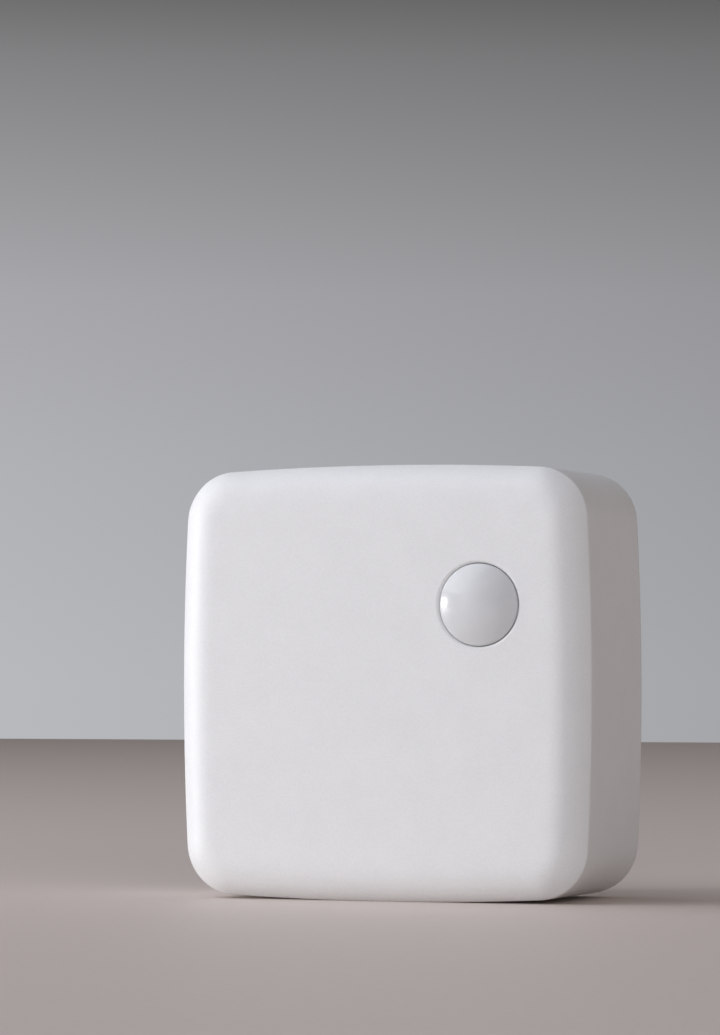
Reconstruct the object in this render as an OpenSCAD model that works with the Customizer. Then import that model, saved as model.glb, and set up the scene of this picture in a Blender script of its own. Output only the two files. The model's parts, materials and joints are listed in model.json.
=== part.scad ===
// Wireless motion sensor tag with a push-fit rear cover and a replaceable coin cell.
// The tag stands on its lower edge. X is the width, +Z is up and the front faces -Y.
// The origin is at the middle of the footprint, on the surface the tag stands on.
// Inside the modules the tag lies on its back: z runs from the rear pad to the lens tip.

/* [Case] */
// Width and height across the middle of the sides
case_size = 50; // [40:0.5:70]
// How far the middle of each side bulges past its corners
side_bulge = 0.85; // [0.2:0.05:2]
// Corner radius seen from the front
corner_radius = 6; // [4:0.5:10]
// Depth of the case from its rear rim to its front face
case_depth = 21.6; // [20:0.1:30]
// Wall thickness
wall = 1.8; // [1.2:0.1:2.4]
// Width of the soft edge around the front face
roll_width = 4.9; // [2:0.05:8]
// Angle at which the soft edge meets the side walls
roll_angle = 56; // [30:1:80]
// Fillet on the rear outer edge
rear_fillet = 0.7; // [0.2:0.1:1.2]
// Height of the bulge taken off under the middle of the lower side, for a steady stand
foot_flat = 0.06; // [0:0.01:0.2]

/* [Lens] */
// Lens position to the right of the middle
lens_x = 12.3; // [-14:0.05:14]
// Lens position above the middle
lens_y = 8.85; // [-14:0.05:14]
// Hole in the front face
lens_hole = 9.5; // [7:0.1:12]
// Gap around the lens
lens_gap = 0.1; // [0.05:0.05:0.4]
// Height of the dome above the front face
dome_rise = 1.2; // [0.4:0.1:2.5]
// Lens shell thickness
lens_skin = 0.7; // [0.4:0.1:1.2]
// Lens flange diameter
flange_size = 12; // [10.5:0.1:14]

/* [Rear cover] */
// Cover plate thickness
cover_thickness = 2; // [1.6:0.1:3]
// Gap between the cover and the case wall
cover_gap = 0.15; // [0.05:0.05:0.4]
// Depth of the rim that plugs into the case
plug_depth = 3.3; // [2:0.1:5]
// Side of the square adhesive pad
pad_size = 30; // [20:1:34]
// How far the pad stands past the cover
pad_proud = 0.3; // [0.1:0.1:1]

/* [Coin cell] */
// Cell diameter
cell_size = 24.5; // [20:0.1:25]
// Cell thickness
cell_height = 7.7; // [3:0.1:8]

/* [Electronics] */
// Side of the square main board
board_size = 43.6; // [38:0.1:44]
// Board thickness
board_thickness = 1; // [0.6:0.1:1.6]
// Distance of the four screws from the middle
screw_offset = 17.6; // [15:0.1:18.5]
// Sensor can diameter
sensor_size = 8.2; // [5:0.1:8.6]
// Pair button position to the left of the middle
button_x = -17.3; // [-17.5:0.1:-15]
// Pair button position below the middle
button_y = -10; // [-11:0.1:-8]

/* [Hidden] */

$fn = 64;
half = case_size / 2;
side_radius = (half * half + side_bulge * side_bulge) / (2 * side_bulge);
side_centre = half - side_radius;
tangent_radius = side_radius - corner_radius;
corner_centre = (sqrt(2 * tangent_radius * tangent_radius - side_centre * side_centre) + side_centre) / 2;
side_angle = atan2(corner_centre, corner_centre - side_centre);
side_steps = 16;
corner_steps = 12;

rim_z = pad_proud;
front_z = rim_z + case_depth;
tip_z = front_z + dome_rise;
inner_z = front_z - wall;
crease_z = front_z - drop(0);
cover_top = rim_z + cover_thickness;
stop_z = cover_top + 0.05;
rib_face = half - wall - 1;

lens_radius = lens_hole / 2 - lens_gap;
dome_radius = (lens_radius * lens_radius + dome_rise * dome_rise) / (2 * dome_rise);
flange_z = inner_z - 0.9;
collar_z = inner_z - 2.9;

cell_z = cover_top + 0.7;
cell_end = cell_z + cell_height;
floor_z = cell_end + 0.5;
board_z = floor_z + 1.2;
board_top = board_z + board_thickness;
pocket_radius = cell_size / 2 + 0.25;
tower_z = cover_top + 3.6;
cap_z = tower_z - 0.2;
switch_z = board_z - 3.4;
sensor_z = board_top + 0.8;

// Stands the lying tag up on its lower edge.
module stand() {
    translate([0, tip_z / 2, half - foot_flat])
        rotate([90, 0, 0])
            children();
}

// Outline of the case seen from the front, moved inwards by inset: four shallow arcs and four corners.
function arc_points(cx, cy, radius, from, to, steps) = [for (k = [0 : steps])
    let (a = from + (to - from) * k / steps)
        [cx + radius * cos(a), cy + radius * sin(a)]];

function quarter(inset) = concat(
    arc_points(side_centre, 0, side_radius - inset, -side_angle, side_angle, side_steps),
    [for (k = [1 : corner_steps - 1])
        let (a = side_angle + (90 - 2 * side_angle) * k / corner_steps)
            [corner_centre + (corner_radius - inset) * cos(a), corner_centre + (corner_radius - inset) * sin(a)]]);

function turned(p, k) = k == 0 ? p : k == 1 ? [-p[1], p[0]] : k == 2 ? [-p[0], -p[1]] : [p[1], -p[0]];

function outline(inset) = [for (k = [0 : 3]) for (p = quarter(inset)) turned(p, k)];

// Solid whose outline follows a list of [inset, z] pairs, lowest first.
module pillow(rings) {
    count = len(outline(0));
    points = [for (ring = rings) for (p = outline(ring[0])) [p[0], p[1], ring[1]]];
    walls = [for (r = [0 : len(rings) - 2]) for (k = [0 : count - 1])
        let (a = r * count + k, b = r * count + (k + 1) % count)
            rings[r][0] == rings[r + 1][0] ? [a, a + count, b + count, b] : [a, a + count, b]];
    slopes = [for (r = [0 : len(rings) - 2]) if (rings[r][0] != rings[r + 1][0]) for (k = [0 : count - 1])
        let (a = r * count + k, b = r * count + (k + 1) % count)
            [a + count, b + count, b]];
    polyhedron(points, concat(
        [[for (k = [0 : count - 1]) k]],
        walls,
        slopes,
        [[for (k = [count - 1 : -1 : 0]) (len(rings) - 1) * count + k]]), convexity = 4);
}

// Straight band between two insets.
module band(outer, inner, z, height) {
    translate([0, 0, z])
        linear_extrude(height, convexity = 4)
            difference() {
                polygon(outline(outer));
                polygon(outline(inner));
            }
}

// Square plate with round corners, centred on the axis.
module soft_plate(size, corner, z, thickness) {
    translate([0, 0, z])
        linear_extrude(thickness)
            soft_square(size, corner);
}

module soft_square(size, corner) {
    square([size - 2 * corner, size], center = true);
    square([size, size - 2 * corner], center = true);
    for (x = [-1, 1], y = [-1, 1])
        translate([x * (size / 2 - corner), y * (size / 2 - corner)])
            circle(corner);
}

// Copies its children to the four screw positions.
module at_screws() {
    for (x = [-1, 1], y = [-1, 1])
        translate([x * screw_offset, y * screw_offset, 0])
            children();
}

module box(x, y, z, length, width, height) {
    translate([x - length / 2, y - width / 2, z])
        cube([length, width, height]);
}

module rod(x, y, z, diameter, height) {
    translate([x, y, z])
        cylinder(d = diameter, h = height);
}

module tube(x, y, z, outer, inner, height) {
    translate([x, y, z])
        difference() {
            cylinder(d = outer, h = height);
            translate([0, 0, -0.5])
                cylinder(d = inner, h = height + 1);
        }
}

// Case

// Tilt of the soft front edge at a distance in from the side wall: it fades out gently into the flat.
function tilt(inset) = roll_angle * pow(1 - pow(inset / roll_width, 1.3), 2);

// How far the soft edge lies behind the front face at a distance in from the side wall.
function drop(inset, slices = 40) = let (step = (roll_width - inset) / slices)
    sum([for (k = [0 : slices - 1]) tan(tilt(inset + (k + 0.5) * step)) * step]);

function sum(list, k = 0) = k >= len(list) ? 0 : list[k] + sum(list, k + 1);

// Soft front edge as [inset, z] pairs, from the side wall to the flat of the front face.
function roll_points(steps) = [for (k = [0 : steps])
    let (inset = roll_width * pow(k / steps, 0.85))
        [inset, front_z - drop(inset)]];

// Rear edge fillet as [inset, z] pairs, from the rim to the side wall.
function fillet_points(steps) = [for (k = [0 : steps])
    let (a = 90 * k / steps)
        [rear_fillet * (1 - sin(a)), rim_z + rear_fillet * (1 - cos(a))]];

module front_shell() {
    color("#f1f1f0")
        stand()
            difference() {
                union() {
                    difference() {
                        pillow(concat(fillet_points(4), roll_points(9)));
                        // cavity, with a thickened corner behind the soft edge
                        pillow([[wall, rim_z - 1], [wall, inner_z - 1.2], [wall + 1.2, inner_z]]);
                    }
                    // collar that holds the lens
                    rod(lens_x, lens_y, collar_z, flange_size + 2, inner_z - collar_z + 0.2);
                    // screw posts with gussets to the walls
                    at_screws()
                        translate([0, 0, board_top])
                            cylinder(d = 5.2, h = inner_z + 0.2 - board_top);
                    for (k = [0 : 3])
                        rotate([0, 0, 90 * k])
                            for (m = [0, 1])
                                mirror([m, -m, 0])
                                    box((screw_offset + half - 1.2) / 2 + 0.6, screw_offset, inner_z - 5,
                                        half - 2.4 - screw_offset, 1, 5.2);
                    // ribs that stop the cover
                    for (k = [0 : 3], y = [-10, 10])
                        rotate([0, 0, 90 * k])
                            box(rib_face + 0.75, y, stop_z, 1.5, 2.4, inner_z + 0.2 - stop_z);
                }
                // flat foot in the middle of the lower side
                box(0, -half - 1 + foot_flat, rim_z - 1, 2 * case_size, 2, front_z + 2);
                // lens opening with an eased lip
                rod(lens_x, lens_y, inner_z - 1, lens_hole, wall + 2);
                translate([lens_x, lens_y, front_z - 0.35])
                    cylinder(d1 = lens_hole, d2 = lens_hole + 0.8, h = 0.4);
                rod(lens_x, lens_y, collar_z - 0.5, flange_size + 0.1, inner_z - collar_z + 0.5);
                at_screws()
                    translate([0, 0, board_top - 0.5])
                        cylinder(d = 2, h = 6.4);
                // grooves for the cover detents
                for (k = [0 : 3])
                    rotate([0, 0, 90 * k])
                        box(half - wall, 0, cover_top + 1, 0.5, 9, 1.2);
                // finger notch in the top of the rear rim
                translate([0, half + 1, rim_z - 6.4])
                    rotate([90, 0, 0])
                        cylinder(r = 8, h = 3.5, $fn = 128);
            }
}

module lens() {
    color("#dfe3e6", 0.95)
        stand()
            translate([lens_x, lens_y, 0])
                rotate_extrude($fn = 96)
                    difference() {
                        union() {
                            translate([0, flange_z])
                                square([flange_size / 2, 0.9]);
                            intersection() {
                                translate([0, tip_z - dome_radius])
                                    circle(dome_radius, $fn = 180);
                                translate([0, flange_z])
                                    square([lens_radius, 5]);
                            }
                        }
                        intersection() {
                            translate([0, tip_z - dome_radius])
                                circle(dome_radius - lens_skin, $fn = 180);
                            translate([-1, flange_z - 1])
                                square([lens_radius - lens_skin + 1, 6]);
                        }
                    }
}

module lens_retainer() {
    color("#cfd0d0")
        stand()
            difference() {
                union() {
                    tube(lens_x, lens_y, flange_z - 1.6, flange_size, 9.8, 1.58);
                    // lugs that key the ring in its collar
                    for (a = [0 : 120 : 240])
                        translate([lens_x, lens_y, flange_z - 1.6])
                            rotate([0, 0, a])
                                box(5.2, 0, 0, 1.2, 1.6, 1.2);
                }
                // pry slots
                for (a = [60 : 120 : 300])
                    translate([lens_x, lens_y, flange_z - 2])
                        rotate([0, 0, a])
                            box(6, 0, 0, 1.4, 1.2, 1);
            }
}

// Rear cover

module rear_cover() {
    color("#ededec")
        stand()
            difference() {
                union() {
                    pillow([[wall + cover_gap + 0.35, rim_z], [wall + cover_gap, rim_z + 0.35],
                        [wall + cover_gap, cover_top]]);
                    // plug rim
                    band(wall + 1.15, wall + 2.25, cover_top - 0.2, plug_depth + 0.2);
                    // detents
                    for (k = [0 : 3])
                        rotate([0, 0, 90 * k])
                            translate([half - wall - 1.7, 0, cover_top + 1.6])
                                rotate([90, 0, 0])
                                    linear_extrude(8, center = true)
                                        polygon([[0, -0.9], [1.25, -0.2], [1.25, 0.2], [0, 0.9]]);
                    // ring that locates the cell pad
                    tube(0, 0, cover_top - 0.2, 16, 14.2, 0.6);
                }
                // shallow seat for the adhesive pad
                soft_plate(pad_size + 0.4, 3.2, rim_z - 1, 1.8);
                // hole for a pin to press the pair button
                rod(button_x, button_y, rim_z - 1, 1.8, cover_thickness + 2);
                translate([button_x, button_y, rim_z - 0.01])
                    cylinder(d1 = 3, d2 = 1.8, h = 0.6);
                // nick behind the finger notch
                translate([0, half - wall, rim_z - 0.1])
                    rotate([45, 0, 0])
                        cube([9, 1.2, 1.2], center = true);
            }
}

module adhesive_pad() {
    color("#9fa3a6")
        stand()
            soft_plate(pad_size, 3, 0, rim_z + 0.79);
}

module blank_label() {
    color("#fbfbf8")
        stand()
            box(2, -13.5, cover_top, 20, 8, 0.12);
}

module cell_pad() {
    color("#3b3d40")
        stand()
            rod(0, 0, cover_top, 14, cell_z - cover_top - 0.02);
}

// Carrier and boards

module carrier() {
    color("#d9dadb")
        stand()
            difference() {
                union() {
                    soft_plate(board_size, 3.5, floor_z, board_z - floor_z);
                    // cell pocket
                    tube(0, 0, tower_z - 0.2, 2 * pocket_radius + 2.6, 2 * pocket_radius, floor_z - tower_z + 0.4);
                    // guide for the pair button
                    box(button_x, button_y, tower_z, 8.6, 8.6, floor_z - tower_z + 0.2);
                    // pegs that locate the board
                    rod(19, 0, board_z - 0.2, 1.8, board_thickness + 0.7);
                    rod(-19, 3, board_z - 0.2, 1.8, board_thickness + 0.7);
                    // stiffening ribs
                    for (a = [40, 140, 320])
                        rotate([0, 0, a])
                            box(17, 0, floor_z - 2.4, 6, 1, 2.6);
                }
                at_screws()
                    translate([0, 0, floor_z - 1])
                        cylinder(d = 2.3, h = 4);
                // button bore and switch chamber
                rod(button_x, button_y, tower_z - 1, 5.9, 6);
                box(button_x, button_y, switch_z - 0.6, 6.6, 6.6, 6);
                // window for the side contact
                box(pocket_radius + 1, 0, tower_z - 1, 3.4, 6.4, floor_z - tower_z + 3);
                // thumb opening in the pocket wall
                box(0, -pocket_radius - 0.8, tower_z - 1, 13, 4.4, 4.4);
                // slot for the lower contact's leg
                box(-5.6, 0, floor_z - 0.5, 0.8, 2.6, 3);
                // relief under the sensor's solder joints
                rod(lens_x, lens_y, board_z - 0.7, 7.2, 1);
            }
}

module main_board() {
    color("#1d6b45")
        stand()
            difference() {
                soft_plate(board_size, 3.5, board_z, board_thickness);
                at_screws()
                    translate([0, 0, board_z - 1])
                        cylinder(d = 2.3, h = 4);
                rod(19, 0, board_z - 1, 1.9, 4);
                rod(-19, 3, board_z - 1, 1.9, 4);
                for (a = [0, 90, 180])
                    translate([lens_x, lens_y, board_z - 1])
                        rotate([0, 0, a + 45])
                            translate([2.54, 0, 0])
                                cylinder(d = 0.6, h = 4, $fn = 32);
            }
}

// Sensor behind the lens

module sensor_spacer() {
    color("#26282b")
        stand()
            difference() {
                rod(lens_x, lens_y, board_top, 9.2, 0.8);
                for (a = [0, 90, 180])
                    translate([lens_x, lens_y, board_top - 1])
                        rotate([0, 0, a + 45])
                            translate([2.54, 0, 0])
                                cylinder(d = 0.6, h = 4, $fn = 32);
            }
}

module sensor_base() {
    color("#b9a26a")
        stand()
            difference() {
                union() {
                    rod(lens_x, lens_y, sensor_z, 9.1, 0.45);
                    rod(lens_x, lens_y, sensor_z + 0.45, sensor_size - 0.64, 0.5);
                    translate([lens_x, lens_y, sensor_z])
                        rotate([0, 0, 200])
                            box(4.7, 0, 0, 1, 0.9, 0.45);
                }
                for (a = [0, 90, 180])
                    translate([lens_x, lens_y, sensor_z - 1])
                        rotate([0, 0, a + 45])
                            translate([2.54, 0, 0])
                                cylinder(d = 0.5, h = 4, $fn = 32);
            }
}

module sensor_can() {
    color("#c9ccce")
        stand()
            translate([lens_x, lens_y, sensor_z + 0.45])
                difference() {
                    rotate_extrude()
                        difference() {
                            union() {
                                square([sensor_size / 2, 2.4]);
                                square([sensor_size / 2 - 0.5, 2.9]);
                                translate([sensor_size / 2 - 0.5, 2.4])
                                    circle(0.5);
                            }
                            translate([-1, -1])
                                square([sensor_size / 2 + 0.7, 3.6]);
                        }
                    translate([0, 0, 2])
                        cylinder(d = 5, h = 2);
                }
}

module sensor_window() {
    color("#3a3f45")
        stand()
            rod(lens_x, lens_y, sensor_z + 2.75, 6.6, 0.28);
}

module sensor_leads() {
    color("#cbb67a")
        stand()
            for (a = [0, 90, 180])
                translate([lens_x, lens_y, board_z - 0.6])
                    rotate([0, 0, a + 45])
                        translate([2.54, 0, 0])
                            cylinder(d = 0.45, h = sensor_z + 1.4 - board_z, $fn = 32);
}

// Radio and logic

module radio_board() {
    color("#17202b")
        stand()
            difference() {
                box(-8.5, 9.5, board_top, 13, 13, 0.8);
                for (y = [4 : 1.5 : 10], x = [-15, -2])
                    rod(x, y, board_top - 0.5, 0.7, 2);
            }
}

module radio_shield() {
    color("#c4c7c9")
        stand()
            difference() {
                box(-8.5, 7, board_top + 0.8, 10.4, 7.4, 1.5);
                box(-8.5, 7, board_top + 0.3, 10, 7, 1.8);
                for (x = [-11, -8.5, -6])
                    rod(x, 7, board_top + 1.8, 0.9, 1);
            }
}

module antenna_trace() {
    color("#c98a4b")
        stand()
            translate([-13.75, 11.6, board_top + 0.8])
                linear_extrude(0.05) {
                    for (k = [0 : 5])
                        translate([2 * k, 0])
                            square([0.5, 3.6]);
                    for (k = [0 : 2 : 4])
                        translate([2 * k, 3.1])
                            square([2.5, 0.5]);
                    for (k = [1 : 2 : 3])
                        translate([2 * k, 0])
                            square([2.5, 0.5]);
                }
}

module controller_chip() {
    color("#202224")
        stand()
            difference() {
                box(-3, -7, board_top, 6, 6, 0.85);
                rod(-5.2, -4.8, board_top + 0.75, 0.7, 1);
            }
}

module amplifier_chip() {
    color("#242628")
        stand()
            difference() {
                box(9, -5, board_top + 0.15, 4.9, 3.9, 1.35);
                rod(7.3, -6.2, board_top + 1.4, 0.7, 1);
            }
}

module amplifier_leads() {
    color("#c6c8c6")
        stand()
            for (x = [-1.905 : 1.27 : 1.91], m = [0, 1])
                translate([9 + x, -5, board_top])
                    mirror([0, m, 0])
                        rotate([90, 0, 90])
                            linear_extrude(0.4, center = true)
                                polygon([[1.96, 0.6], [2.5, 0.6], [2.7, 0.2], [3.1, 0.2], [3.1, 0],
                                    [2.55, 0], [2.35, 0.4], [1.96, 0.4]]);
}

module crystal() {
    color("#bfc3c6")
        stand() {
            box(3.6, -7, board_top, 3.2, 2.5, 0.4);
            box(3.6, -7, board_top + 0.4, 2.9, 2.2, 0.35);
        }
}

// The small chips lie in two rows.
module capacitors() {
    color("#a98d68")
        stand() {
            for (x = [-9 : 3 : 3])
                box(x, -13, board_top + 0.03, 1, 0.8, 0.75);
            for (y = [-1, 1.2])
                box(3, y, board_top + 0.03, 1, 0.8, 0.75);
        }
}

module resistors() {
    color("#1b1c1e")
        stand() {
            for (x = [6 : 3 : 12])
                box(x, -13, board_top + 0.03, 1, 0.8, 0.4);
            for (x = [-9 : 3 : 0])
                box(x, -16, board_top + 0.03, 1, 0.8, 0.4);
        }
}

module chip_terminals() {
    color("#d2d4d3")
        stand() {
            for (x = [-9 : 3 : 3], s = [-0.65, 0.65])
                box(x + s, -13, board_top, 0.3, 0.84, 0.81);
            for (y = [-1, 1.2], s = [-0.65, 0.65])
                box(3 + s, y, board_top, 0.3, 0.84, 0.81);
            for (x = [6 : 3 : 12], s = [-0.65, 0.65])
                box(x + s, -13, board_top, 0.3, 0.84, 0.46);
            for (x = [-9 : 3 : 0], s = [-0.65, 0.65])
                box(x + s, -16, board_top, 0.3, 0.84, 0.46);
        }
}

module status_led() {
    color("#f2ecc8")
        stand() {
            box(lens_x, lens_y - 6, board_top, 1.6, 0.8, 0.3);
            box(lens_x, lens_y - 6, board_top + 0.3, 1.1, 0.8, 0.4);
        }
}

// Coin cell and its contacts

module cell_can() {
    color("#c9cbcc")
        stand()
            rotate_extrude($fn = 96)
                difference() {
                    union() {
                        translate([0, cell_z])
                            square([cell_size / 2 - 0.5, cell_height - 0.6]);
                        translate([0, cell_z + 0.5])
                            square([cell_size / 2, cell_height - 1.4]);
                        translate([cell_size / 2 - 0.5, cell_z + 0.5])
                            circle(0.5);
                        translate([cell_size / 2 - 0.5, cell_end - 0.9])
                            circle(0.3);
                    }
                    translate([-1, cell_z + 0.35])
                        square([cell_size / 2 + 0.7, cell_height]);
                }
}

module cell_gasket() {
    color("#2d2e30")
        stand()
            tube(0, 0, cell_z + 0.37, cell_size - 0.64, cell_size - 1.6, cell_height - 0.87);
}

module cell_cap() {
    color("#d4d6d7")
        stand()
            rotate_extrude($fn = 96) {
                translate([0, cell_z + 0.37])
                    square([cell_size / 2 - 0.82, cell_height - 0.9]);
                translate([0, cell_z + 0.37])
                    square([cell_size / 2 - 1.6, cell_height - 0.37]);
            }
}

module positive_contact() {
    color("#d8c48a")
        stand()
            rotate([90, 0, 0])
                linear_extrude(5, center = true)
                    polygon([[14.3, board_z], [14.3, 8.6], [12.6, 6.4], [13.2, 5.4], [12.95, 5.25], [12.29, 6.4],
                        [14, 8.7], [14, board_z]]);
}

module negative_contact() {
    color("#d8c48a")
        stand()
            difference() {
                union() {
                    box(0, 0, floor_z - 0.2, 12, 6, 0.2);
                    box(-5.6, 0, floor_z - 0.1, 0.3, 2, board_z - floor_z + 0.1);
                    for (m = [0, 1])
                        mirror([m, 0, 0])
                            translate([0, 0, floor_z])
                                rotate([90, 0, 0])
                                    linear_extrude(2, center = true)
                                        polygon([[0.6, -0.2], [0.6, 0], [1.2, -0.05], [3.4, -0.28], [3.8, -0.25],
                                            [3.8, -0.44], [3.3, -0.48], [1.2, -0.22]]);
                }
                for (x = [-2.3, 2.3], y = [-1.25, 1.25])
                    box(x, y, floor_z - 1, 3.2, 0.3, 2);
            }
}

// Pair button and its switch

module button_cap() {
    color("#f4f4f2")
        stand()
            translate([button_x, button_y, cap_z])
                rotate_extrude()
                    difference() {
                        union() {
                            square([2.47, 2.6]);
                            translate([0, 0.4])
                                square([2.87, 2.2]);
                            translate([2.47, 0.4])
                                circle(0.4);
                        }
                        translate([-1, 1.3])
                            square([2.78, 3]);
                    }
}

module switch_plunger() {
    color("#1e1f21")
        stand() {
            rod(button_x, button_y, cap_z + 1.32, 3.5, switch_z + 0.9 - cap_z - 1.32);
            rod(button_x, button_y, switch_z + 0.3, 4.6, 0.6);
        }
}

module switch_body() {
    color("#2a2b2d")
        stand()
            difference() {
                box(button_x, button_y, switch_z + 0.02, 6, 6, 3.38);
                rod(button_x, button_y, switch_z - 1, 5, 2.8);
            }
}

module switch_frame() {
    color("#c3c6c8")
        stand()
            difference() {
                box(button_x, button_y, switch_z - 0.2, 6, 6, 0.22);
                rod(button_x, button_y, switch_z - 1, 3.9, 2);
            }
}

module case_screws() {
    color("#9ea2a5")
        stand()
            at_screws()
                difference() {
                    union() {
                        translate([0, 0, floor_z - 1.3])
                            cylinder(d = 3.8, h = 1.28);
                        translate([0, 0, floor_z - 0.2])
                            cylinder(d = 1.94, h = 7);
                    }
                    // cross recess
                    box(0, 0, floor_z - 1.6, 2.2, 0.5, 1);
                    box(0, 0, floor_z - 1.6, 0.5, 2.2, 1);
                }
}

front_shell();
lens();
lens_retainer();
rear_cover();
adhesive_pad();
blank_label();
cell_pad();
carrier();
main_board();
sensor_spacer();
sensor_base();
sensor_can();
sensor_window();
sensor_leads();
radio_board();
radio_shield();
antenna_trace();
controller_chip();
amplifier_chip();
amplifier_leads();
crystal();
capacitors();
resistors();
chip_terminals();
status_led();
cell_can();
cell_cap();
cell_gasket();
positive_contact();
negative_contact();
button_cap();
switch_plunger();
switch_body();
switch_frame();
case_screws();
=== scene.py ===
"""Visual model of the wireless motion sensor tag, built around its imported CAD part."""
import json
import math

import bmesh
import bpy
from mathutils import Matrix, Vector


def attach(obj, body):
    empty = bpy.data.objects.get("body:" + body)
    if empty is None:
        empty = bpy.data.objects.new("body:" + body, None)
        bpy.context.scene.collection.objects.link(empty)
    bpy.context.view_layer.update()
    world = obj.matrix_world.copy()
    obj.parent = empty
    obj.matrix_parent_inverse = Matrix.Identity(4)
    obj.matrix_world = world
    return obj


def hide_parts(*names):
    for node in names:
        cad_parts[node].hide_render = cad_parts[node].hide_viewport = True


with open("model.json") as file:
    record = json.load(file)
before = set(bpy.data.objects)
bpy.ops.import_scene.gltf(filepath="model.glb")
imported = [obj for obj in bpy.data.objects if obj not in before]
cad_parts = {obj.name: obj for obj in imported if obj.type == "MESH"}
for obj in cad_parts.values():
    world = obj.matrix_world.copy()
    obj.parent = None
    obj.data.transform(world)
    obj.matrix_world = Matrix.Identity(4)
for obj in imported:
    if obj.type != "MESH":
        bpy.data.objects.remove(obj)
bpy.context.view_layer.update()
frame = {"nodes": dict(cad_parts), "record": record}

# ---------------------------------------------------------------- sizes, in mm, as in the CAD source
MM = 0.001
HALF = 25.0
SIDE_BULGE = 0.85
CORNER_RADIUS = 6.0
WALL = 1.8
ROLL_WIDTH = 4.9
ROLL_ANGLE = math.radians(56)
REAR_FILLET = 0.7
RIM_Z = 0.3
FRONT_Z = RIM_Z + 21.6
FOOT_FLAT = 0.06
TIP_Z = FRONT_Z + 1.2
INNER_Z = FRONT_Z - WALL
COVER_TOP = RIM_Z + 2.0
STOP_Z = COVER_TOP + 0.05
COVER_GAP = 0.15
PLUG_INSET = WALL + 1.15
LENS_X, LENS_Y = 12.3, 8.85
HOLE_RADIUS = 4.75
LENS_RADIUS = HOLE_RADIUS - 0.06
LENS_SKIN = 0.7
LENS_RINGS, RINGED_RADIUS = 6, 3.6
LIP_RADIUS = 0.38
FLANGE_RADIUS = 6.0
COLLAR_BORE = FLANGE_RADIUS + 0.05
COLLAR_RADIUS = FLANGE_RADIUS + 1
FLANGE_Z = INNER_Z - 0.9
COLLAR_Z = INNER_Z - 2.9
CELL_Z = COVER_TOP + 0.7
CELL_END = CELL_Z + 7.7
FLOOR_Z = CELL_END + 0.5
BOARD_Z = FLOOR_Z + 1.2
BOARD_TOP = BOARD_Z + 1.0
SCREW_OFFSET = 17.6
POST_RADIUS, POST_BORE = 2.6, 1.0
BUTTON_X, BUTTON_Y = -17.3, -10.0
PAD = 30.0
PAD_RING = 8.0
PAD_RING_BORE = 7.1
NOTCH_RADIUS, NOTCH_DEPTH = 8, 6.4

SIDE_RADIUS = (HALF ** 2 + SIDE_BULGE ** 2) / (2 * SIDE_BULGE)
SIDE_CENTRE = HALF - SIDE_RADIUS
TANGENT_RADIUS = SIDE_RADIUS - CORNER_RADIUS
CORNER_CENTRE = (math.sqrt(2 * TANGENT_RADIUS * TANGENT_RADIUS - SIDE_CENTRE ** 2) + SIDE_CENTRE) / 2
SIDE_ANGLE = math.atan2(CORNER_CENTRE, CORNER_CENTRE - SIDE_CENTRE)
CREASE_RADIUS = 0.6
SIDE_STEPS, CORNER_STEPS = 48, 20


def tilt(inset):
    """Tilt of the soft front edge at a distance in from the side wall."""
    return ROLL_ANGLE * (1 - (inset / ROLL_WIDTH) ** 1.3) ** 2


def drop(inset, slices=40):
    """How far the soft edge lies behind the front face at a distance in from the side wall."""
    step = (ROLL_WIDTH - inset) / slices
    return sum(math.tan(tilt(inset + (k + 0.5) * step)) * step for k in range(slices))


CREASE_Z = FRONT_Z - drop(0)


def place(x, y, z):
    """From the lying frame of the CAD source, in mm, to the row frame, in metres."""
    return Vector((x * MM, (TIP_Z / 2 - z) * MM, (y + HALF - FOOT_FLAT) * MM))


# ---------------------------------------------------------------- mesh helpers
def outline(inset):
    """Outline of the case moved inwards, as (x, y) points anticlockwise seen from the front."""
    quarter = []
    for k in range(SIDE_STEPS + 1):
        a = SIDE_ANGLE * (2 * k / SIDE_STEPS - 1)
        r = SIDE_RADIUS - inset
        quarter.append((SIDE_CENTRE + r * math.cos(a), r * math.sin(a)))
    for k in range(1, CORNER_STEPS):
        a = SIDE_ANGLE + (math.pi / 2 - 2 * SIDE_ANGLE) * k / CORNER_STEPS
        r = CORNER_RADIUS - inset
        quarter.append((CORNER_CENTRE + r * math.cos(a), CORNER_CENTRE + r * math.sin(a)))
    points = list(quarter)
    for _ in range(3):
        quarter = [(-y, x) for x, y in quarter]
        points += quarter
    return points


def round_square(size, corner, steps=10):
    """Points of a square with round corners, anticlockwise."""
    points = []
    c = size / 2 - corner
    for k in range(4):
        cx, cy = [(c, c), (-c, c), (-c, -c), (c, -c)][k]
        for j in range(steps + 1):
            a = math.pi / 2 * (k + j / steps)
            points.append((cx + corner * math.cos(a), cy + corner * math.sin(a)))
    return points


def circle(cx, cy, r, steps):
    """Points of a circle, anticlockwise."""
    return [(cx + r * math.cos(2 * math.pi * k / steps), cy + r * math.sin(2 * math.pi * k / steps))
            for k in range(steps)]


def ring(bm, points, z):
    """Places an outline's points at one height."""
    return [bm.verts.new(place(x, y, z)) for x, y in points]


def bridge(bm, low, high):
    """Joins two closed loops of the same length with a band of faces."""
    n = len(low)
    for k in range(n):
        bm.faces.new((low[k], low[(k + 1) % n], high[(k + 1) % n], high[k]))


def loft(bm, rings):
    """Joins each ring to the next."""
    for a, b in zip(rings, rings[1:]):
        bridge(bm, a, b)


def cap(bm, *loops):
    """Fills the flat area between an outer loop and any loops inside it."""
    edges = []
    for loop in loops:
        for k in range(len(loop)):
            a, b = loop[k], loop[(k + 1) % len(loop)]
            edges.append(bm.edges.get((a, b)) or bm.edges.new((a, b)))
    bmesh.ops.triangle_fill(bm, use_beauty=True, use_dissolve=False, edges=edges)


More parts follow.
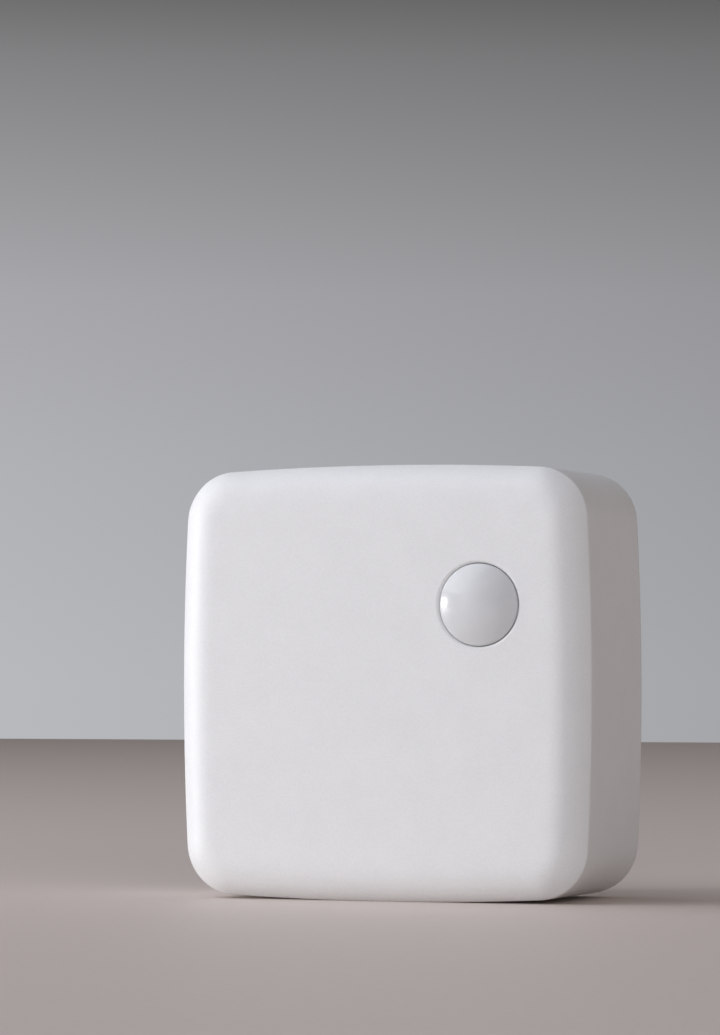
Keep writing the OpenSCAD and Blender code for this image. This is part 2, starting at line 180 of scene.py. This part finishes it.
def finish_mesh(bm, name, angle=30):
    """Turns a mesh under construction into an object with clean normals."""
    bmesh.ops.remove_doubles(bm, verts=bm.verts, dist=1e-9)
    bmesh.ops.recalc_face_normals(bm, faces=bm.faces)
    mesh = bpy.data.meshes.new(name)
    bm.to_mesh(mesh)
    bm.free()
    obj = bpy.data.objects.new(name, mesh)
    bpy.context.collection.objects.link(obj)
    smooth(obj, angle)
    return obj


def smooth(obj, angle=30):
    """Shades smooth, with edges past the angle kept sharp."""
    obj.data.shade_smooth()
    obj.data.set_sharp_from_angle(angle=math.radians(angle))


def lathe(bm, cx, cy, profile, steps=96):
    """Loops of (radius, z) pairs turned round an axis; a radius of 0 closes with a point."""
    rings = []
    for r, z in profile:
        rings.append([bm.verts.new(place(cx, cy, z))] if r == 0 else ring(bm, circle(cx, cy, r, steps), z))
    for a, b in zip(rings, rings[1:]):
        if len(a) == 1 and len(b) == 1:
            continue
        if len(a) == 1 or len(b) == 1:
            tip, loop = (a[0], b) if len(a) == 1 else (b[0], a)
            for k in range(len(loop)):
                bm.faces.new((loop[k], loop[(k + 1) % len(loop)], tip))
        else:
            bridge(bm, a, b)
    return rings


def add_box(bm, x, y, z, length, width, height, turn=0.0):
    """A box standing on z, centred on x, y, the whole turned about the case's axis."""
    c, s = math.cos(turn), math.sin(turn)
    corners = []
    for dz in (0, height):
        for sx, sy in ((-1, -1), (1, -1), (1, 1), (-1, 1)):
            px, py = x + sx * length / 2, y + sy * width / 2
            corners.append(bm.verts.new(place(px * c - py * s, px * s + py * c, z + dz)))
    for f in ((0, 3, 2, 1), (4, 5, 6, 7), (0, 1, 5, 4), (1, 2, 6, 5), (2, 3, 7, 6), (3, 0, 4, 7)):
        bm.faces.new([corners[k] for k in f])


def carve(obj, build, operation):
    """Joins to, or cuts from, a piece the solids that build() draws."""
    bm = bmesh.new()
    build(bm)
    cutter = finish_mesh(bm, obj.name + "_tool")
    mod = obj.modifiers.new("carve", "BOOLEAN")
    mod.operation, mod.solver, mod.object = operation, "EXACT", cutter
    mod.use_self = False
    bpy.context.view_layer.update()
    graph = bpy.context.evaluated_depsgraph_get()
    mesh = bpy.data.meshes.new_from_object(obj.evaluated_get(graph))
    obj.modifiers.clear()
    obj.data = mesh
    bpy.data.objects.remove(cutter, do_unlink=True)


# ---------------------------------------------------------------- materials
def shader(name, color, roughness, metallic=0.0, **sockets):
    """New material; a keyword such as Coat_Weight sets the shader's socket of that name."""
    mat = bpy.data.materials.new(name)
    mat.use_nodes = True
    nodes = mat.node_tree.nodes
    bsdf = nodes["Principled BSDF"]
    bsdf.inputs["Base Color"].default_value = (*color, 1)
    bsdf.inputs["Roughness"].default_value = roughness
    bsdf.inputs["Metallic"].default_value = metallic
    for key, value in sockets.items():
        bsdf.inputs[key.replace("_", " ")].default_value = value
    return mat, mat.node_tree, bsdf


def noise(tree, scale, detail=2.0, stretch=(1, 1, 1), kind="ShaderNodeTexNoise"):
    """A texture fixed to the piece's own coordinates."""
    coord = tree.nodes.new("ShaderNodeTexCoord")
    mapping = tree.nodes.new("ShaderNodeMapping")
    mapping.inputs["Scale"].default_value = stretch
    tex = tree.nodes.new(kind)
    tex.inputs["Scale"].default_value = scale
    if "Detail" in tex.inputs:
        tex.inputs["Detail"].default_value = detail
    tree.links.new(coord.outputs["Object"], mapping.inputs["Vector"])
    tree.links.new(mapping.outputs["Vector"], tex.inputs["Vector"])
    return tex


def ramp(tree, source, stops):
    """Turns a value into a colour between (position, colour) stops."""
    node = tree.nodes.new("ShaderNodeValToRGB")
    elements = node.color_ramp.elements
    while len(elements) < len(stops):
        elements.new(0.5)
    for element, (position, color) in zip(elements, stops):
        element.position = position
        element.color = (*color, 1)
    tree.links.new(source, node.inputs["Fac"])
    return node.outputs["Color"]


def remap(tree, source, low, high):
    """Stretches a value of 0 to 1 to run from low to high."""
    node = tree.nodes.new("ShaderNodeMapRange")
    node.inputs["To Min"].default_value = low
    node.inputs["To Max"].default_value = high
    tree.links.new(source, node.inputs["Value"])
    return node.outputs["Result"]


def bump(tree, bsdf, *layers):
    """Stacks (height output, strength, distance in mm) bumps on a shader."""
    last = None
    for height, strength, distance in layers:
        node = tree.nodes.new("ShaderNodeBump")
        node.inputs["Strength"].default_value = strength
        node.inputs["Distance"].default_value = distance * MM
        tree.links.new(height, node.inputs["Height"])
        if last:
            tree.links.new(last, node.inputs["Normal"])
        last = node.outputs["Normal"]
    tree.links.new(last, bsdf.inputs["Normal"])


def tint(color, factor):
    """The colour made lighter or darker, held at 1."""
    return tuple(min(1.0, c * factor) for c in color)


def moulded(name, color, roughness=0.5, grain=0.12, depth=0.02, strength=0.5, spread=0.03, speck=0,
            **sockets):
    """Moulded plastic: fine spark-eroded grain, soft unevenness and faint shade variation."""
    mat, tree, bsdf = shader(name, color, roughness, **sockets)
    fine = noise(tree, 1 / (grain * MM), 2.5)
    broad = noise(tree, 1 / (9 * MM), 2.0)
    wide = noise(tree, 1 / (4.0 * MM), 4.0)
    stops = [(0.3, tint(color, 1 - spread)), (0.7, tint(color, 1 + spread))]
    speckled = tree.nodes.new("ShaderNodeVectorMath")
    speckled.operation = "SCALE"
    tree.links.new(ramp(tree, wide.outputs["Fac"], stops), speckled.inputs[0])
    tree.links.new(remap(tree, fine.outputs["Fac"], 1 - speck, 1 + speck), speckled.inputs["Scale"])
    tree.links.new(speckled.outputs["Vector"], bsdf.inputs["Base Color"])
    gloss = remap(tree, fine.outputs["Fac"], roughness - 0.08, roughness + 0.08)
    tree.links.new(gloss, bsdf.inputs["Roughness"])
    bump(tree, bsdf, (broad.outputs["Fac"], 0.1, 0.05), (fine.outputs["Fac"], strength, depth))
    return mat


def metal(name, color, roughness=0.3, stretch=(1, 1, 30), scale=0.4, spread=0.12):
    """Brushed or drawn metal: streaks along one direction in the gloss, smudges in the colour."""
    mat, tree, bsdf = shader(name, color, roughness, 1.0)
    streak = noise(tree, 1 / (scale * MM), 3.0, stretch)
    smudge = noise(tree, 1 / (2.5 * MM), 3.0)
    stops = [(0.3, tint(color, 1 - spread)), (0.7, tint(color, 1 + spread))]
    tree.links.new(ramp(tree, smudge.outputs["Fac"], stops), bsdf.inputs["Base Color"])
    gloss = remap(tree, streak.outputs["Fac"], roughness - 0.1, roughness + 0.15)
    tree.links.new(gloss, bsdf.inputs["Roughness"])
    bump(tree, bsdf, (streak.outputs["Fac"], 0.25, 0.01))
    return mat


def laminate(name, mask, trace):
    """Circuit board: solder mask over a grid of raised tracks."""
    mat, tree, bsdf = shader(name, mask, 0.28, Coat_Weight=0.4, Coat_Roughness=0.12)
    tracks = noise(tree, 1 / (2.4 * MM), kind="ShaderNodeTexVoronoi", stretch=(1, 0.02, 1))
    tracks.distance = "CHEBYCHEV"
    tracks.feature = "F2"
    tracks.inputs["Randomness"].default_value = 0.55
    grain = noise(tree, 1 / (0.25 * MM), 2.0)
    color = ramp(tree, tracks.outputs["Distance"],
                 [(0.0, mask), (0.46, mask), (0.5, trace), (0.6, trace), (0.64, mask)])
    tree.links.new(color, bsdf.inputs["Base Color"])
    low, high = (0, 0, 0), (1, 1, 1)
    lift = ramp(tree, tracks.outputs["Distance"],
                [(0.0, low), (0.45, low), (0.5, high), (0.6, high), (0.65, low)])
    bump(tree, bsdf, (lift, 0.5, 0.035), (grain.outputs["Fac"], 0.15, 0.01))
    return mat


def foam(name, color, cell=0.35):
    """Closed-cell foam: small cells, darker in the middle, over soft unevenness."""
    mat, tree, bsdf = shader(name, color, 0.85)
    cells = noise(tree, 1 / (cell * MM), kind="ShaderNodeTexVoronoi")
    wide = noise(tree, 1 / (2.0 * MM), 3.0)
    tree.links.new(ramp(tree, cells.outputs["Distance"], [(0.0, tint(color, 0.72)), (0.5, tint(color, 1.1))]),
                   bsdf.inputs["Base Color"])
    bump(tree, bsdf, (wide.outputs["Fac"], 0.2, 0.06), (cells.outputs["Distance"], 0.6, 0.08))
    return mat


WHITE = (0.83, 0.83, 0.835)
MATERIALS = {
    "case_plastic": moulded("case_plastic", WHITE, 0.52, grain=0.2, depth=0.05, strength=0.6, spread=0.012,
                            speck=0.06),
    "cover_plastic": moulded("cover_plastic", (0.80, 0.80, 0.80), 0.55, grain=0.16, depth=0.022,
                             strength=0.6),
    "retainer_plastic": moulded("retainer_plastic", (0.62, 0.62, 0.62), 0.45, depth=0.015),
    "carrier_plastic": moulded("carrier_plastic", (0.66, 0.66, 0.65), 0.42, grain=0.2, depth=0.02),
    "spacer_plastic": moulded("spacer_plastic", (0.02, 0.02, 0.022), 0.5, grain=0.1, spread=0.25),
    "plunger_plastic": moulded("plunger_plastic", (0.012, 0.012, 0.013), 0.45, grain=0.1, spread=0.25),
    "button_plastic": moulded("button_plastic", (0.82, 0.82, 0.81), 0.3, grain=0.15, depth=0.01),
    "gasket_plastic": moulded("gasket_plastic", (0.028, 0.028, 0.03), 0.55, grain=0.1, spread=0.2),
    "chip_epoxy": moulded("chip_epoxy", (0.018, 0.018, 0.019), 0.6, grain=0.07, depth=0.02, spread=0.3),
    "ceramic_tan": moulded("ceramic_tan", (0.42, 0.29, 0.16), 0.4, grain=0.05, spread=0.15),
    "resistor_black": moulded("resistor_black", (0.013, 0.013, 0.014), 0.22, grain=0.08, spread=0.3),
    "label_paper": moulded("label_paper", (0.86, 0.86, 0.83), 0.7, grain=0.08, depth=0.012, spread=0.02),
    "led_resin": moulded("led_resin", (0.85, 0.8, 0.55), 0.12, grain=0.2, depth=0.004,
                         Transmission_Weight=0.4),
    "pad_foam": foam("pad_foam", (0.34, 0.355, 0.37)),
    "dark_foam": foam("dark_foam", (0.045, 0.047, 0.05), 0.4),
    "board_laminate": laminate("board_laminate", (0.012, 0.13, 0.05), (0.03, 0.24, 0.1)),
    "radio_laminate": laminate("radio_laminate", (0.008, 0.014, 0.03), (0.02, 0.035, 0.07)),
    "gold_plate": metal("gold_plate", (0.83, 0.62, 0.26), 0.25),
    "contact_metal": metal("contact_metal", (0.85, 0.68, 0.36), 0.25, (30, 1, 1)),
    "antenna_copper": metal("antenna_copper", (0.86, 0.45, 0.22), 0.35),
    "can_metal": metal("can_metal", (0.68, 0.69, 0.7), 0.28, (1, 12, 1)),
    "tin_plate": metal("tin_plate", (0.74, 0.74, 0.73), 0.35),
    "cell_steel": metal("cell_steel", (0.66, 0.67, 0.68), 0.26, (1, 1, 25), 0.5, 0.06),
    "screw_steel": metal("screw_steel", (0.52, 0.53, 0.54), 0.32, (8, 1, 8)),
}


def window_filter():
    """Dark infrared filter, faintly uneven in colour."""
    mat, tree, bsdf = shader("window_filter", (0.01, 0.012, 0.016), 0.06, Coat_Weight=0.6)
    film = noise(tree, 1 / (1.5 * MM), 2.0)
    tree.links.new(ramp(tree, film.outputs["Fac"], [(0.3, (0.008, 0.01, 0.014)), (0.7, (0.03, 0.025, 0.04))]),
                   bsdf.inputs["Base Color"])
    return mat


def milky_lens():
    """Glossy translucent plastic with a faint cloud in it."""
    color = (0.72, 0.73, 0.745)
    mat, tree, bsdf = shader("lens_plastic", color, 0.13, Subsurface_Weight=0.35, Subsurface_Scale=0.002,
                             Coat_Weight=0.35, Coat_Roughness=0.06)
    bsdf.inputs["Subsurface Radius"].default_value = (1.0, 1.0, 1.0)
    cloud = noise(tree, 1 / (2.2 * MM), 3.0)
    fine = noise(tree, 1 / (0.3 * MM), 2.0)
    tree.links.new(ramp(tree, cloud.outputs["Fac"], [(0.25, tint(color, 0.96)), (0.75, tint(color, 1.03))]),
                   bsdf.inputs["Base Color"])
    tree.links.new(remap(tree, fine.outputs["Fac"], 0.1, 0.18), bsdf.inputs["Roughness"])
    bump(tree, bsdf, (cloud.outputs["Fac"], 0.08, 0.03))
    return mat


MATERIALS["window_filter"] = window_filter()
MATERIALS["lens_plastic"] = milky_lens()

SLOT_OF = {s["node"]: s["material_slot"] for s in frame["record"]["subparts"]}
for name, obj in frame["nodes"].items():
    obj.data.materials.clear()
    obj.data.materials.append(MATERIALS[SLOT_OF[name]])


def dress(obj, node, body):
    """Gives a new piece its material, and lets it stand for a CAD node."""
    slot_name = SLOT_OF[node]
    obj.data.materials.clear()
    obj.data.materials.append(MATERIALS[slot_name])
    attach(obj, body)
    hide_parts(node)
    return obj


# ---------------------------------------------------------------- case
def shell_rings():
    """(inset, z) pairs of the shell's skin, from the flat of the front face round to the inner face."""
    pairs = [(ROLL_WIDTH + 0.6, FRONT_Z), (ROLL_WIDTH + 0.2, FRONT_Z)]
    turn = math.pi / 2 - ROLL_ANGLE
    reach = CREASE_RADIUS * math.tan(turn / 2)
    last = reach * math.cos(ROLL_ANGLE)
    for k in range(25):
        inset = last + (ROLL_WIDTH - last) * (1 - k / 24) ** 1.3
        pairs.append((inset, FRONT_Z - drop(inset)))
    for k in range(1, 7):
        b = turn * (1 - k / 6)
        pairs.append((CREASE_RADIUS * (1 - math.cos(b)), CREASE_Z - reach + CREASE_RADIUS * math.sin(b)))
    pairs.append((0, CREASE_Z - reach - 0.4))
    pairs.append((0, RIM_Z + REAR_FILLET + 0.3))
    for k in range(8):
        a = math.pi / 2 * k / 7
        pairs.append((REAR_FILLET * (1 - math.cos(a)), RIM_Z + REAR_FILLET * (1 - math.sin(a))))
    pairs += [(WALL - 0.2, RIM_Z), (WALL - 0.06, RIM_Z + 0.06), (WALL, RIM_Z + 0.2),
              (WALL, INNER_Z - 1.2), (WALL + 1.2, INNER_Z)]
    return pairs


def build_shell():
    """One moulding: front face, walls, lens collar and screw posts, then ribs, gussets and cuts."""
    bm = bmesh.new()
    rings = [ring(bm, outline(inset), z) for inset, z in shell_rings()]
    loft(bm, rings)
    lip = [(HOLE_RADIUS + 0.55, FRONT_Z), (HOLE_RADIUS + 0.4, FRONT_Z)]
    lip += [(HOLE_RADIUS + LIP_RADIUS * (1 - math.sin(a)), FRONT_Z - LIP_RADIUS * (1 - math.cos(a)))
            for a in (math.pi / 2 * k / 6 for k in range(7))]
    hole = lathe(bm, LENS_X, LENS_Y, lip + [
        (HOLE_RADIUS, INNER_Z), (COLLAR_BORE, INNER_Z), (COLLAR_BORE, COLLAR_Z + 0.25),
        (FLANGE_RADIUS + 0.25, COLLAR_Z), (FLANGE_RADIUS + 0.85, COLLAR_Z), (COLLAR_RADIUS, COLLAR_Z + 0.15),
        (COLLAR_RADIUS, INNER_Z)], 128)
    posts = [lathe(bm, sx * SCREW_OFFSET, sy * SCREW_OFFSET, [
        (2.9, INNER_Z), (2.65, INNER_Z - 0.15), (POST_RADIUS, INNER_Z - 0.4),
        (POST_RADIUS, BOARD_TOP + 0.12), (2.48, BOARD_TOP), (1.3, BOARD_TOP), (POST_BORE, BOARD_TOP + 0.3),
        (POST_BORE, BOARD_TOP + 5.9), (0, BOARD_TOP + 6.3)], 48)
        for sx in (-1, 1) for sy in (-1, 1)]
    cap(bm, rings[0], hole[0])
    cap(bm, rings[-1], hole[-1], *[p[0] for p in posts])
    shell = finish_mesh(bm, "front_shell_body")

    def ribs(tool):
        rib_face = HALF - WALL - 1
        for k in range(4):
            turn = math.pi / 2 * k
            for y in (-10, 10):
                add_box(tool, rib_face + 0.75, y, STOP_Z, 1.5, 2.4, INNER_Z + 0.3 - STOP_Z, turn)

    def gussets(tool):
        length = HALF - 2.4 - SCREW_OFFSET
        middle = (SCREW_OFFSET + HALF - 1.2) / 2 + 0.6
        for k in range(4):
            turn = math.pi / 2 * k
            add_box(tool, middle, SCREW_OFFSET, INNER_Z - 5, length, 1, 5.2, turn)
            add_box(tool, SCREW_OFFSET, middle, INNER_Z - 5, 1, length, 5.2, turn)

    def grooves(tool):
        for k in range(4):
            add_box(tool, HALF - WALL, 0, COVER_TOP + 1, 0.5, 9, 1.2, math.pi / 2 * k)

    def notch(tool):
        low, high = [], []
        for k in range(96):
            a = 2 * math.pi * k / 96
            x, z = NOTCH_RADIUS * math.cos(a), RIM_Z - NOTCH_DEPTH + NOTCH_RADIUS * math.sin(a)
            low.append(tool.verts.new(place(x, HALF - 2.5, z)))
            high.append(tool.verts.new(place(x, HALF + 1, z)))
        bridge(tool, low, high)
        tool.faces.new(low)
        tool.faces.new(high)

    carve(shell, ribs, "UNION")
    carve(shell, gussets, "UNION")
    carve(shell, grooves, "DIFFERENCE")
    carve(shell, notch, "DIFFERENCE")
    # the flat foot under the bulged lower side
    for vertex in shell.data.vertices:
        vertex.co.z = max(vertex.co.z, 0)
    smooth(shell)
    return dress(shell, "front_shell", "housing")


def build_lens():
    """Dome with a flange, and shallow rings stepped into its inner face."""
    rise = TIP_Z - FRONT_Z
    radius = (LENS_RADIUS ** 2 + rise ** 2) / (2 * rise)
    base = TIP_Z - radius
    edge = math.asin((LENS_RADIUS - 0.12) / radius)
    profile = [(LENS_RADIUS - 0.4, FLANGE_Z), (FLANGE_RADIUS - 0.1, FLANGE_Z),
               (FLANGE_RADIUS, FLANGE_Z + 0.1), (FLANGE_RADIUS, INNER_Z - 0.1),
               (FLANGE_RADIUS - 0.1, INNER_Z), (LENS_RADIUS + 0.05, INNER_Z),
               (LENS_RADIUS, INNER_Z + 0.05), (LENS_RADIUS, FRONT_Z - 0.2),
               (LENS_RADIUS - 0.02, FRONT_Z - 0.08)]
    for k in range(25):
        a = edge * (1 - k / 24)
        profile.append((radius * math.sin(a), base + radius * math.cos(a)))
    inner = radius - LENS_SKIN
    below = []
    for k in range(LENS_RINGS):
        r1, r0 = RINGED_RADIUS * (k + 1) / LENS_RINGS, RINGED_RADIUS * k / LENS_RINGS
        z0 = base + math.sqrt(inner ** 2 - r0 ** 2)
        below += [(r0, z0), (r1 - 0.02, z0 - 0.02)]
    bore = LENS_RADIUS - LENS_SKIN
    below.append((bore, base + math.sqrt(inner ** 2 - bore ** 2)))
    below.append((bore, FLANGE_Z + 0.1))
    bm = bmesh.new()
    lathe(bm, LENS_X, LENS_Y, profile + below + [profile[0]], 128)
    return dress(finish_mesh(bm, "lens_dome", 35), "lens", "housing")


def build_cover():
    """Inset plate with its plug rim, pad seat, pin hole, ring round the cell pad, detents and nick."""
    gap = WALL + COVER_GAP
    bm = bmesh.new()
    pairs = [(gap + 0.5, RIM_Z)]
    pairs += [(gap + 0.4 * (1 - math.sin(a)), RIM_Z + 0.4 * (1 - math.cos(a)))
              for a in (math.pi / 2 * k / 5 for k in range(6))]
    pairs += [(gap, COVER_TOP - 0.1), (gap + 0.1, COVER_TOP), (PLUG_INSET, COVER_TOP),
              (PLUG_INSET, COVER_TOP + 3.1), (WALL + 1.35, COVER_TOP + 3.3), (WALL + 2.1, COVER_TOP + 3.3),
              (WALL + 2.25, COVER_TOP + 3.15), (WALL + 2.25, COVER_TOP + 0.2), (WALL + 2.45, COVER_TOP)]
    rings = [ring(bm, outline(inset), z) for inset, z in pairs]
    loft(bm, rings)
    seat = [(PAD + 0.4, 3.2, RIM_Z), (PAD + 0.3, 3.15, RIM_Z + 0.1), (PAD + 0.3, 3.15, RIM_Z + 0.8)]
    seat_rings = [ring(bm, round_square(size, corner), z) for size, corner, z in seat]
    loft(bm, seat_rings)
    cap(bm, seat_rings[-1])
    pin = lathe(bm, BUTTON_X, BUTTON_Y, [(1.5, RIM_Z), (1.2, RIM_Z + 0.1), (0.9, RIM_Z + 0.6),
                                         (0.9, COVER_TOP - 0.1), (1.0, COVER_TOP)], 48)
    guide = lathe(bm, 0, 0, [(PAD_RING, COVER_TOP), (PAD_RING, COVER_TOP + 0.35), (7.95, COVER_TOP + 0.4),
                             (7.15, COVER_TOP + 0.4), (PAD_RING_BORE, COVER_TOP + 0.35),
                             (PAD_RING_BORE, COVER_TOP)], 96)
    cap(bm, rings[0], seat_rings[0], pin[0])
    cap(bm, rings[-1], guide[0], pin[-1])
    cap(bm, guide[-1])
    cover = finish_mesh(bm, "rear_cover_plate")

    def detents(tool):
        for k in range(4):
            c, s = math.cos(math.pi / 2 * k), math.sin(math.pi / 2 * k)
            rows = []
            for y in (-4, 4):
                rows.append([tool.verts.new(place(x * c - y * s, x * s + y * c, COVER_TOP + 1.6 + z))
                             for x, z in ((HALF - WALL - 1.7, -0.9), (HALF - WALL - 0.45, -0.2),
                                          (HALF - WALL - 0.45, 0.2), (HALF - WALL - 1.7, 0.9))])
            bridge(tool, rows[0], rows[1])
            tool.faces.new(rows[0])
            tool.faces.new(rows[1])

    def nick(tool):
        corners = [(0, -0.85), (0.85, 0), (0, 0.85), (-0.85, 0)]
        rows = [[tool.verts.new(place(x, HALF - WALL + y, RIM_Z - 0.1 + z)) for y, z in corners]
                for x in (-4.5, 4.5)]
        bridge(tool, rows[0], rows[1])
        tool.faces.new(rows[0])
        tool.faces.new(rows[1])

    carve(cover, detents, "UNION")
    carve(cover, nick, "DIFFERENCE")
    smooth(cover)
    return dress(cover, "rear_cover", "cover")


def build_pad():
    """Square foam pad with soft edges."""
    bm = bmesh.new()
    steps = [(PAD - 0.5, 2.8, 0.0), (PAD - 0.25, 2.9, 0.03), (PAD - 0.1, 2.97, 0.12), (PAD, 3, 0.3),
             (PAD, 3, 0.85), (PAD - 0.1, 2.97, 1.05), (PAD - 0.25, 2.9, 1.09)]
    rings = [ring(bm, round_square(size, corner), z) for size, corner, z in steps]
    loft(bm, rings)
    cap(bm, rings[0])
    cap(bm, rings[-1])
    return dress(finish_mesh(bm, "adhesive_pad_foam", 50), "adhesive_pad", "cover")


build_shell()
build_lens()
build_cover()
build_pad()


# ---------------------------------------------------------------- studio
FLOOR_SHADES = [(0.3, (0.69, 0.60, 0.55)), (0.7, (0.71, 0.62, 0.57))]


def build_floor():
    """A plain pale floor with a faint paper grain."""
    bm = bmesh.new()
    for x, y in ((-3, -3), (3, -3), (3, 1.2), (-3, 1.2)):
        bm.verts.new((x, y, 0))
    bm.faces.new(bm.verts)
    mesh = bpy.data.meshes.new("studio_floor")
    bm.to_mesh(mesh)
    bm.free()
    floor = bpy.data.objects.new("studio_floor", mesh)
    bpy.context.collection.objects.link(floor)
    mat, tree, bsdf = shader("floor_paper", FLOOR_SHADES[0][1], 0.6)
    grain = noise(tree, 1 / (1.2 * MM), 3.0)
    tree.links.new(ramp(tree, grain.outputs["Fac"], FLOOR_SHADES), bsdf.inputs["Base Color"])
    floor.data.materials.append(mat)


def area_light(name, azimuth, elevation, distance, width, height, power, color=(1, 1, 1)):
    """A soft light aimed at the middle of the case. Azimuth 0 is in front, positive to the right."""
    a, e = math.radians(azimuth), math.radians(elevation)
    target = Vector((0, 0, HALF * MM))
    back = Vector((math.sin(a) * math.cos(e), -math.cos(a) * math.cos(e), math.sin(e)))
    data = bpy.data.lights.new(name, "AREA")
    data.shape, data.size, data.size_y = "RECTANGLE", width, height
    data.energy, data.color = power, color
    light = bpy.data.objects.new(name, data)
    light.location = target + back * distance
    light.rotation_mode = "QUATERNION"
    light.rotation_quaternion = back.to_track_quat("Z", "Y")
    bpy.context.collection.objects.link(light)
    return light


# The backdrop's colour by the sine of its elevation: four stops in the camera's view, three above it.
SKY = [(0.0, (0.49, 0.5, 0.525)), (0.05, (0.45, 0.455, 0.48)), (0.09, (0.4, 0.4, 0.42)),
       (0.143, (0.235, 0.235, 0.24)), (0.17, (0.1, 0.1, 0.1)), (0.5, (0.13, 0.13, 0.13)),
       (1.0, (0.28, 0.28, 0.29))]
# Its factor from left to right: it falls across the view. The right, out of view, is brighter and warm.
SIDEWAYS = [(0.0, (1, 1, 1)), (0.27, (1, 1, 1)), (0.365, (0.75, 0.75, 0.75)), (0.49, (0.8, 0.8, 0.8)),
            (0.53, (1.12, 1.0, 0.92)), (1.0, (1.12, 1.0, 0.92))]


def build_world():
    """The backdrop, coloured by height and from left to right."""
    world = bpy.data.worlds.new("studio")
    bpy.context.scene.world = world
    world.use_nodes = True
    tree = world.node_tree
    coord = tree.nodes.new("ShaderNodeTexCoord")
    split = tree.nodes.new("ShaderNodeSeparateXYZ")
    tree.links.new(coord.outputs["Generated"], split.inputs["Vector"])
    sky = ramp(tree, split.outputs["Z"], SKY)
    across = tree.nodes.new("ShaderNodeMapRange")
    across.inputs["From Min"].default_value = -1
    tree.links.new(split.outputs["X"], across.inputs["Value"])
    shade = tree.nodes.new("ShaderNodeVectorMath")
    shade.operation = "MULTIPLY"
    tree.links.new(sky, shade.inputs[0])
    tree.links.new(ramp(tree, across.outputs["Result"], SIDEWAYS), shade.inputs[1])
    tree.links.new(shade.outputs["Vector"], tree.nodes["Background"].inputs["Color"])


VIEW_YAW, VIEW_PITCH = math.radians(21.2), math.radians(2.16)
VIEW_LENS = 149.57
VIEW_X, VIEW_BACK, VIEW_RISE = 175.72, 460.67, 0.37


def build_camera():
    """A long lens, 21 degrees to the right, at half the case's height and tilted 2 degrees up."""
    data = bpy.data.cameras.new("camera")
    data.lens, data.sensor_width = VIEW_LENS, 36
    data.clip_start, data.clip_end = 0.01, 50
    camera = bpy.data.objects.new("camera", data)
    crease_y = TIP_Z / 2 - CREASE_Z
    camera.location = (VIEW_X * MM, (crease_y - VIEW_BACK) * MM, (HALF + VIEW_RISE - FOOT_FLAT) * MM)
    level = math.cos(VIEW_PITCH)
    look = Vector((-math.sin(VIEW_YAW) * level, math.cos(VIEW_YAW) * level, math.sin(VIEW_PITCH)))
    camera.rotation_mode = "QUATERNION"
    camera.rotation_quaternion = look.to_track_quat("-Z", "Y")
    bpy.context.collection.objects.link(camera)
    bpy.context.scene.camera = camera


build_camera()
build_floor()
build_world()
area_light("window", -68, 4, 0.6, 0.09, 0.07, 1.75)
area_light("sky_panel", -62, 46, 1.2, 1.5, 1.5, 9.6, (0.84, 0.89, 1.0))
fill = area_light("front_fill", 28, 6, 2.2, 1.8, 1.4, 19.5, (0.9, 0.94, 1.0))
fill.visible_glossy = False
bpy.context.scene.view_settings.view_transform = "Standard"
